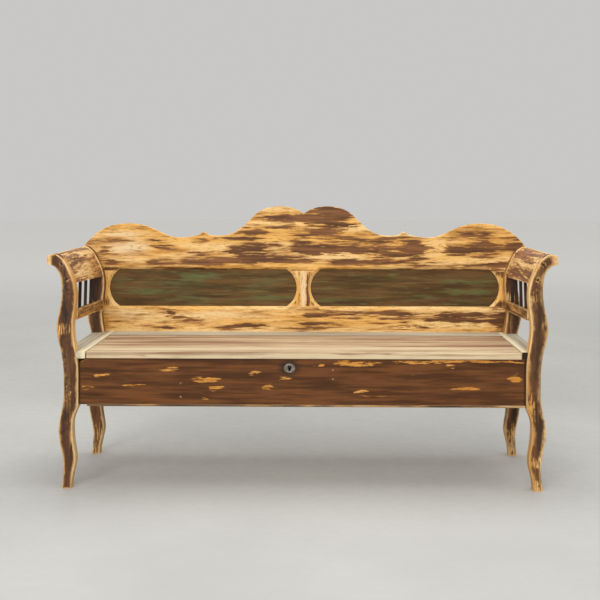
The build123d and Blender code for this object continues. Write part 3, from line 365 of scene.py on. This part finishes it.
# ---------------------------------------------------------------- painted boards
# Spots: middle across and up the board, half width, half height, strength (+ painted, - bare).
CREST_SPOTS = [
    (0.05, 0.31, 0.012, 0.05, 0.5), (0.08, 0.13, 0.035, 0.05, 0.45), (0.15, 0.16, 0.02, 0.03, 0.3),
    (0.17, 0.46, 0.03, 0.03, 0.45), (0.18, 0.37, 0.04, 0.03, 0.5), (0.26, 0.47, 0.025, 0.05, 0.5),
    (0.27, 0.29, 0.02, 0.03, 0.3), (0.29, 0.14, 0.07, 0.05, 0.5), (0.32, 0.52, 0.035, 0.03, 0.35),
    (0.34, 0.33, 0.025, 0.07, 0.45), (0.38, 0.55, 0.03, 0.12, 0.5), (0.38, 0.29, 0.035, 0.18, 0.6),
    (0.455, 0.81, 0.06, 0.05, 0.65), (0.45, 0.68, 0.05, 0.025, 0.3), (0.46, 0.17, 0.07, 0.05, 0.65),
    (0.49, 0.48, 0.03, 0.09, 0.35), (0.45, 0.09, 0.012, 0.03, 0.4), (0.55, 0.85, 0.06, 0.15, 0.8),
    (0.55, 0.61, 0.045, 0.06, 0.5), (0.58, 0.38, 0.11, 0.11, 0.6), (0.63, 0.14, 0.06, 0.07, 0.45),
    (0.72, 0.19, 0.07, 0.12, 0.45), (0.69, 0.50, 0.02, 0.03, 0.5), (0.75, 0.35, 0.03, 0.10, 0.55),
    (0.84, 0.29, 0.03, 0.08, 0.5), (0.89, 0.55, 0.045, 0.06, 0.35), (0.90, 0.43, 0.03, 0.06, 0.35),
    (0.92, 0.30, 0.06, 0.09, 0.55), (0.98, 0.40, 0.02, 0.10, 0.5), (0.94, 0.10, 0.025, 0.04, 0.5),
    (0.60, 0.24, 0.08, 0.035, -0.4), (0.61, 0.66, 0.05, 0.05, -0.45), (0.80, 0.40, 0.02, 0.20, -0.45),
    (0.88, 0.17, 0.08, 0.035, -0.4), (0.50, 0.72, 0.02, 0.03, -0.3), (0.50, 0.015, 0.7, 0.03, 0.22),
    (0.50, 0.34, 0.04, 0.05, 0.35), (0.42, 0.42, 0.03, 0.05, 0.35), (0.53, 0.30, 0.03, 0.04, 0.3),
]
CREST_PALE = [
    (0.10, 0.36, 0.05, 0.13, 0.9), (0.10, 0.57, 0.05, 0.04, 0.7), (0.26, 0.27, 0.015, 0.06, 0.5),
]
RAIL_SPOTS = [
    (0.185, 0.72, 0.012, 0.09, 0.5), (0.20, 0.55, 0.012, 0.08, 0.5), (0.23, 0.50, 0.03, 0.06, 0.35),
    (0.17, 0.20, 0.06, 0.05, 0.3), (0.36, 0.22, 0.05, 0.09, 0.5), (0.52, 0.68, 0.025, 0.11, 0.5),
    (0.54, 0.26, 0.055, 0.13, 0.5), (0.80, 0.60, 0.19, 0.17, 0.75), (0.035, 0.17, 0.02, 0.17, 0.6),
    (0.88, 0.50, 0.10, 0.14, 0.3), (0.74, 0.15, 0.05, 0.12, 0.35), (0.975, 0.40, 0.025, 0.5, 0.6),
    (0.82, 0.22, 0.14, 0.10, -0.3), (0.78, 0.90, 0.2, 0.06, -0.35),
]
RAIL_PALE = [
    (0.09, 0.62, 0.04, 0.2, 0.5), (0.32, 0.70, 0.10, 0.14, 0.4), (0.62, 0.75, 0.03, 0.2, 0.4),
]
STILE_SPOTS = {
    "left": [(0.2, 0.2, 0.4, 0.12, 0.5), (0.1, 0.6, 0.1, 0.4, 0.4)],
    "centre": [
        (0.645, 0.5, 0.05, 0.7, 0.65), (0.16, 0.24, 0.12, 0.09, 0.7), (0.86, 0.22, 0.12, 0.10, 0.6),
        (0.18, 0.80, 0.12, 0.07, 0.5), (0.85, 0.80, 0.12, 0.07, 0.5), (0.49, 0.5, 0.06, 0.7, -0.35),
        (0.36, 0.5, 0.03, 0.7, 0.3),
    ],
    "right": [(0.55, 0.85, 0.4, 0.10, 0.7), (0.5, 0.15, 0.5, 0.10, 0.6), (0.8, 0.5, 0.25, 0.5, 0.35)],
}
# A pale line down the whole of the centre stile.
STILE_PALE = [(0.50, 0.5, 0.08, 0.8, 1.0)]
PANEL_GREENS = {
    "back_left_panel": [
        (0.48, 0.80, 0.12, 0.09, 1.0), (0.45, 0.70, 0.09, 0.07, 0.8), (0.20, 0.42, 0.10, 0.10, 0.8),
        (0.30, 0.60, 0.15, 0.06, 0.4), (0.42, 0.24, 0.10, 0.05, 0.7), (0.66, 0.82, 0.06, 0.04, 0.6),
        (0.84, 0.60, 0.10, 0.14, 0.45), (0.85, 0.28, 0.11, 0.08, 0.75), (0.06, 0.5, 0.05, 0.3, 0.4),
        (0.5, 0.5, 0.4, 0.4, 0.2),
    ],
    "back_right_panel": [
        (0.78, 0.63, 0.14, 0.06, 0.7), (0.84, 0.40, 0.12, 0.07, 0.8), (0.84, 0.20, 0.10, 0.05, 0.6),
        (0.11, 0.46, 0.03, 0.08, 0.5), (0.10, 0.20, 0.10, 0.07, 0.6), (0.92, 0.5, 0.08, 0.3, 0.3),
        (0.6, 0.28, 0.08, 0.06, 0.35),
    ],
}
FRONT_SPOTS = [
    (0.29, 0.54, 0.026, 0.055, -0.75), (0.312, 0.34, 0.013, 0.06, -0.75),
    (0.292, 0.11, 0.012, 0.03, -0.5), (0.40, 0.69, 0.014, 0.05, -0.7),
    (0.434, 0.38, 0.014, 0.07, -0.8), (0.461, 0.58, 0.014, 0.06, -0.5),
    (0.542, 0.84, 0.008, 0.035, -0.7), (0.622, 0.90, 0.05, 0.055, -0.8),
    (0.634, 0.29, 0.018, 0.035, -1.0), (0.86, 0.35, 0.028, 0.03, -0.65),
    (0.967, 0.60, 0.010, 0.11, -0.65), (0.136, 0.42, 0.022, 0.025, -0.65),
    (0.069, 0.60, 0.02, 0.06, -0.45), (0.035, 0.37, 0.014, 0.06, -0.24),
    (0.865, 0.955, 0.115, 0.035, -0.95), (0.83, 0.86, 0.012, 0.035, -0.5),
    (0.215, 0.76, 0.022, 0.08, -0.4), (0.74, 0.93, 0.05, 0.03, -0.4), (0.475, 0.80, 0.025, 0.14, 0.5),
    (0.5, 0.02, 0.5, 0.05, 0.4),
]
# Painted shadow: a dark ring round the escutcheon.
ROSE_PAINTED_SHADOW = [(0.474, 0.80, 0.020, 0.17, 0.95)]
POST_SPOTS = {
    "front_left_post": [
        (0.45, 0.68, 0.4, 0.025, -0.35), (0.35, 0.085, 0.18, 0.035, -0.45),
        (0.4, 0.045, 0.4, 0.02, 0.3), (0.2, 0.95, 0.25, 0.06, 0.5), (0.62, 0.42, 0.10, 0.06, -0.2),
    ],
    "front_right_post": [
        (0.45, 0.12, 0.30, 0.025, -0.45), (0.55, 0.02, 0.4, 0.045, -0.5),
        (0.22, 0.36, 0.14, 0.08, -0.3), (0.33, 0.82, 0.15, 0.04, -0.2), (0.85, 0.93, 0.25, 0.05, 0.4),
    ],
    "back_left_post": [(0.5, 0.06, 0.6, 0.10, -0.35), (0.7, 0.70, 0.5, 0.02, -0.3)],
    "back_right_post": [
        (0.4, 0.06, 0.4, 0.10, -0.35), (0.35, 0.26, 0.22, 0.03, -0.5), (0.5, 0.76, 0.4, 0.03, -0.4),
    ],
}
# Old soot and dirt down the middle of every post's face.
POST_SOOT = [
    (0.52, 0.79, 0.15, 0.11, 1.0), (0.50, 0.60, 0.11, 0.08, 0.6), (0.45, 0.47, 0.14, 0.10, 0.75),
    (0.50, 0.26, 0.13, 0.09, 0.7), (0.45, 0.06, 0.10, 0.03, 0.7),
]
# The two peg holes of a right post, across and up its face, and the dirt round each.
# A left post mirrors them.
PEG_HOLES = [(0.60, 0.96), (0.41, 0.895)]
PEG_HALO = (0.085, 0.011, 0.9)


def dress_back():
    """Crest, rail, stiles and panels of the back, unpainted on the side that faces the wall."""
    crest = worn_paint("crest_paint", ALONG_X, 1, CREST_PAINT, 0.32, CREST_SPOTS, "crest_board",
                       edge_wear=0.1, edge_radius=0.003, pale_spots=CREST_PALE)
    leave_bare(crest, ALONG_Y, 1, ALONG_X, 1, AGED_WOOD)
    assign(crest, "crest_board")
    rail = worn_paint("rail_paint", ALONG_X, 2, CREST_PAINT, 0.26, RAIL_SPOTS, "back_bottom_rail",
                      edge_wear=0.1, edge_radius=0.003, pale_spots=RAIL_PALE)
    leave_bare(rail, ALONG_Y, 1, ALONG_X, 2, AGED_WOOD)
    assign(rail, "back_bottom_rail")
    for seed, (side, spots) in enumerate(STILE_SPOTS.items(), start=3):
        node = f"back_{side}_stile"
        pale = STILE_PALE if side == "centre" else ()
        stile = worn_paint(f"{side}_stile_paint", ALONG_Z, seed, CREST_PAINT, 0.22, spots, node,
                           ragged=2.0, edge_wear=0.6, wander=0.0015, pale_spots=pale)
        leave_bare(stile, ALONG_Y, 1, ALONG_Z, seed, AGED_WOOD)
        assign(stile, node)
    for seed, (node, greens) in enumerate(PANEL_GREENS.items(), start=7):
        panel = green_panel(node, seed, greens)
        leave_bare(panel, ALONG_Y, 1, ALONG_X, seed, AGED_PANEL_WOOD)
        assign(panel, node)


def green_panel(node, seed, greens):
    """Olive-brown paint, rubbed through in places to an older green coat."""
    g = Nodes(f"{node}_paint")
    streak = streaks(g, ALONG_X, seed)
    green = g.places(node, greens, 0.012)
    field = g.math("MULTIPLY_ADD", g.math("SUBTRACT", streak, 0.5), 4.5, green)
    tone = g.noise(g.stretched(ALONG_X, 3, 34, seed + 3), detail=4.0)
    brown = g.mix(g.ease(tone, 0.35, 0.65), shade(PANEL_PAINT, 0.65), shade(PANEL_PAINT, 1.3))
    colour = g.tint(brown, field, 0.0, 1.1, 0.75, PANEL_GREEN)
    fine = g.noise(g.stretched(ALONG_X, 11, 150, seed + 5), detail=3.0)
    colour = g.tint(colour, fine, 0.57, 0.72, 0.45, shade(PANEL_GREEN, 1.5))
    colour = g.tint(colour, fine, 0.43, 0.32, 0.4, PANEL_GRIME)
    g.put(g.shader.inputs["Base Color"], colour)
    g.shader.inputs["Roughness"].default_value = 0.55
    g.shader.inputs["Specular IOR Level"].default_value = 0.15
    g.bump(fine, WOOD_RELIEF, 0.5)
    return g


def dress_box():
    """Front board, its plank edge below, and the unpainted rest of the box."""
    front = worn_paint("front_paint", ALONG_X, 11, BOARD_PAINT, 0.86, FRONT_SPOTS, "box_front_board",
                       ragged=2.2, edge_radius=0.004, bare=CHIP_WOOD, wander=0.010, shine=0.16)
    board_low, board_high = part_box("box_front_board")
    # Painted shade: dark lines down both ends of the front board, in the gaps beside the posts.
    for shoulder in (board_low.x + TENON_LENGTH, board_high.x - TENON_LENGTH):
        front.colour_over(front.beside(ALONG_X, shoulder, 0.010), DIRT_AND_PAINTED_SHADE)
    # Painted shadow: the dark ring round the escutcheon.
    front.colour_over(front.places("box_front_board", ROSE_PAINTED_SHADOW, 0.004), DIRT_AND_PAINTED_SHADE)
    leave_bare(front, ALONG_Y, 1, ALONG_X, 11, RAW_WOOD)
    assign(front, "box_front_board")
    plank = worn_paint("plank_paint", ALONG_X, 12, PLANK_PAINT, 0.62, ragged=3.0, edge_wear=0.1,
                       bare=PLANK_WOOD)
    for upward in (1, -1):
        leave_bare(plank, ALONG_Z, upward, ALONG_X, 12, RAW_WOOD)
    assign(plank, "bottom_front_plank")
    lengthways = scrubbed_pine("raw_pine_lengthways", ALONG_X, 13, RAW_WOOD)
    assign(lengthways, "bottom_back_plank", "box_back_board")
    crossways = scrubbed_pine("raw_pine_crossways", ALONG_Y, 14, RAW_WOOD)
    assign(crossways, "lid_left_cleat", "lid_centre_cleat", "lid_right_cleat")
    upright = scrubbed_pine("raw_pine_upright", ALONG_Z, 15, RAW_WOOD)
    assign(upright, "box_left_batten", "box_right_batten")
    for seed, side, inward in ((16, "left", 1), (17, "right", -1)):
        end = worn_paint(f"box_{side}_paint", ALONG_Y, seed, BOARD_PAINT, 0.74, ragged=1.8)
        leave_bare(end, ALONG_X, inward, ALONG_Y, seed, RAW_WOOD)
        assign(end, f"box_{side}_board")


def peg_grime(node):
    """Dark spots round the peg holes near the top of a post."""
    mirrored = "left" in node
    return [(1 - u if mirrored else u, v, *PEG_HALO) for u, v in PEG_HOLES]


def dress_posts():
    """Posts: dark paint on the faces, rubbed back to wood along every arris."""
    for seed, (node, spots) in enumerate(POST_SPOTS.items(), start=21):
        cover, most_soot = (0.88, 0.9) if "left" in node else (0.80, 0.5)
        side_wear = 0.75 if "front" in node else 0.3
        edge_radius = 0.019 if node == "front_right_post" else 0.013
        post = worn_paint(f"{node}_paint", ALONG_Z, seed, POST_PAINT, cover,
                          spots + peg_grime(node), node, ragged=2.6, edge_wear=0.85,
                          edge_radius=edge_radius, bare=POST_WOOD, wander=0.006, mottle=0.7,
                          side_wear=side_wear)
        blotch = post.noise(post.stretched(ALONG_Z, 16, 55, seed + 30), detail=4.0)
        broken = post.ease(blotch, 0.36, 0.56, 0.3, 1.0)
        soot = post.math("MULTIPLY", post.places(node, POST_SOOT, 0.004), broken)
        post.colour_over(post.math("MINIMUM", soot, most_soot), DIRT_AND_PAINTED_SHADE)
        assign(post, node)


def dress_arms():
    """Arm boards, their edge strips, the rails, slats and pegs."""
    for seed, side, cover in ((31, "left", 0.43), (32, "right", 0.56)):
        arm = worn_paint(f"{side}_arm_paint", ALONG_Y, seed, ARM_PAINT, cover, ragged=5.5,
                         bare=ARM_WOOD)
        assign(arm, f"{side}_arm_board")
    strip = worn_paint("arm_strip_paint", ALONG_Y, 33, STRIP_PAINT, 0.22, ragged=1.6, bare=ARM_WOOD)
    assign(strip, "left_arm_edge_strip", "right_arm_edge_strip")
    rail = worn_paint("side_rail_paint", ALONG_Y, 34, SIDE_RAIL_PAINT, 0.60, ragged=2.4,
                      edge_wear=0.6, edge_radius=0.007)
    assign(rail, "left_side_rail", "right_side_rail")
    slat = worn_paint("slat_paint", ALONG_Z, 35, SLAT_PAINT, 0.92, ragged=1.2,
                      edge_wear=0.12, edge_radius=0.002)
    assign(slat, *(f"{side}_slat_{i}" for side in ("left", "right") for i in range(1, 5)))
    peg = worn_paint("peg_paint", ALONG_Y, 36, SLAT_PAINT, 0.9, ragged=0.6,
                     edge_wear=0.05, edge_radius=0.001)
    assign(peg, "arm_pegs")


def stripe(g, axis, place, reach, strength, colour):
    """Colour on both sides of a line across one axis, out to a reach in metres."""
    g.colour_over(g.math("MULTIPLY", g.beside(axis, place, reach), strength), colour)


def dress_seat():
    """Scrubbed seat: a pale front plank, a browner one behind it and greyed boards round them."""
    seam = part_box("seat_back_strip")[0].y
    front = scrubbed_pine("seat_front", ALONG_X, 41, SEAT_FRONT_WOOD, lines=0.45, dirt=0.12)
    assign(front, "lid_front_plank")
    middle = scrubbed_pine("seat_middle", ALONG_X, 42, SEAT_MIDDLE_WOOD, lines=0.6, dirt=0.2)
    stripe(middle, ALONG_Y, seam, 0.012, 0.7, SHADOW_LINE)
    assign(middle, "lid_back_plank")
    strip = scrubbed_pine("seat_strip", ALONG_X, 43, GREY_WOOD, lines=0.45)
    stripe(strip, ALONG_Y, seam, 0.010, 0.7, SHADOW_LINE)
    assign(strip, "seat_back_strip")
    for seed, side, inner in ((44, "left", 1), (45, "right", 0)):
        node = f"seat_{side}_end_board"
        board = scrubbed_pine(f"seat_{side}_end", ALONG_Y, seed, GREY_WOOD, lines=0.35)
        # A pale band along the inner edge of each end board, beside the lid.
        stripe(board, ALONG_X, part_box(node)[inner].x, 0.028, 0.8, PALE_EDGE_BAND)
        # On the right end board, the face that looks forward is darkened.
        if side == "right":
            board.colour_over(board.facing(ALONG_Y, -1), DIRT_AND_PAINTED_SHADE)
        assign(board, node)


# ---------------------------------------------------------------- iron
def old_iron(name, dark, light, rust, metallic, seed):
    """Worn wrought iron: dark scale, rubbed grey and specks of rust."""
    g = Nodes(name)
    grain = g.noise(g.vector("ADD", g.position, (seed, 0, 0)), 340, 4.0)
    blotch = g.noise(g.vector("ADD", g.position, (0, seed, 0)), 130, 3.0)
    colour = g.mix(g.ease(grain, 0.33, 0.70), dark, light)
    colour = g.tint(colour, blotch, 0.52, 0.68, 0.7, rust)
    g.put(g.shader.inputs["Base Color"], colour)
    g.shader.inputs["Metallic"].default_value = metallic
    g.put(g.shader.inputs["Roughness"], g.ease(blotch, 0.4, 0.7, 0.38, 0.7))
    g.bump(grain, IRON_RELIEF, 0.5)
    return g


def dress_iron():
    """Lock, hinges, nails and screws."""
    rose = old_iron("rose_iron", *ROSE_IRON, 0.5, 1)
    assign(rose, "escutcheon", "lock_drill_pin")
    works = old_iron("works_iron", *WORKS_IRON, 0.6, 2)
    assign(works, "lock_plate", "lock_case", "lock_bolt", "lock_link_plate",
           "frame_screws", "lid_screws")
    hinge = old_iron("hinge_iron", *HINGE_IRON, 0.2, 4)
    for side in ("left", "right"):
        assign(hinge, *(f"{side}_hinge_{part}" for part in ("fixed_leaf", "lid_leaf", "pin")))
    nail = old_iron("nail_iron", *NAIL_IRON, 0.3, 3)
    assign(nail, "frame_nails", "front_nails", "lid_cleat_nails")


# ---------------------------------------------------------------- stage, in metres, watts and degrees
FLOOR_RADIUS = 30
FLOOR_SIDES = 96
WORLD_STRENGTH = 0.58
# Place, size and power of each lamp.
SOFTBOXES = {
    "key": ((-1.5, -7.0, 4.6), (6.0, 4.0), 430),
    "top": ((0.3, 0.3, 4.4), (5.0, 3.5), 120),
}
# Lens and sensor in millimetres, and the shift in parts of the sensor's width.
LENS, SENSOR_WIDTH, LENS_SHIFT = 60, 36, -0.188
CAMERA_RIGHT, CAMERA_DISTANCE, CAMERA_HEIGHT = 0.073, 3.68, 1.115
CAMERA_TURN = 1.2


def make_floor():
    """Pale concrete floor, far larger than the view."""
    bpy.ops.mesh.primitive_circle_add(vertices=FLOOR_SIDES, radius=FLOOR_RADIUS, fill_type="NGON",
                                      location=(0, 0, low_corner.z))
    floor = bpy.context.object
    floor.name = "floor"
    g = Nodes("pale_floor")
    cloud = g.noise(g.position, 0.9, 5.0)
    speck = g.noise(g.position, 22, 4.0)
    colour = g.mix(g.ease(cloud, 0.3, 0.7), FLOOR_DARK, FLOOR_PALE)
    colour = g.tint(colour, speck, 0.3, 0.75, 0.12, FLOOR_SPECK)
    colour = g.tint(colour, g.vector("LENGTH", g.position), 1.5, 11.0, 1.0, FLOOR_FAR)
    g.put(g.shader.inputs["Base Color"], colour)
    g.put(g.shader.inputs["Roughness"], g.ease(speck, 0.3, 0.7, 0.5, 0.65))
    floor.data.materials.append(g.material)


def make_softbox(name, place, target, size, power):
    """Large rectangular lamp, turned to the target."""
    lamp = bpy.data.lights.new(name, "AREA")
    lamp.shape = "RECTANGLE"
    lamp.size, lamp.size_y = size
    lamp.energy = power
    holder = bpy.data.objects.new(name, lamp)
    bpy.context.scene.collection.objects.link(holder)
    holder.location = place
    holder.rotation_euler = (Vector(target) - Vector(place)).to_track_quat("-Z", "Y").to_euler()


def make_light():
    """Soft daylight from all round, and a broad softbox above and in front."""
    world = bpy.data.worlds.new("studio")
    bpy.context.scene.world = world
    world.use_nodes = True
    background = world.node_tree.nodes["Background"]
    background.inputs["Color"].default_value = DAYLIGHT
    background.inputs["Strength"].default_value = WORLD_STRENGTH
    middle = (0, 0, high_corner.z / 2)
    for name, (place, size, power) in SOFTBOXES.items():
        make_softbox(name, place, middle, size, power)


def make_camera():
    """Level camera at chest height, a little right of the middle and turned a little to the left."""
    data = bpy.data.cameras.new("camera")
    data.lens = LENS
    data.sensor_width = SENSOR_WIDTH
    data.shift_y = LENS_SHIFT
    camera = bpy.data.objects.new("camera", data)
    bpy.context.scene.collection.objects.link(camera)
    camera.location = (CAMERA_RIGHT, low_corner.y - CAMERA_DISTANCE, CAMERA_HEIGHT)
    camera.rotation_euler = (math.radians(90), 0, math.radians(CAMERA_TURN))
    bpy.context.scene.camera = camera


bpy.context.scene.view_settings.view_transform = "Standard"
dress_back()
dress_box()
dress_posts()
dress_arms()
dress_seat()
dress_iron()
make_floor()
make_light()
make_camera()
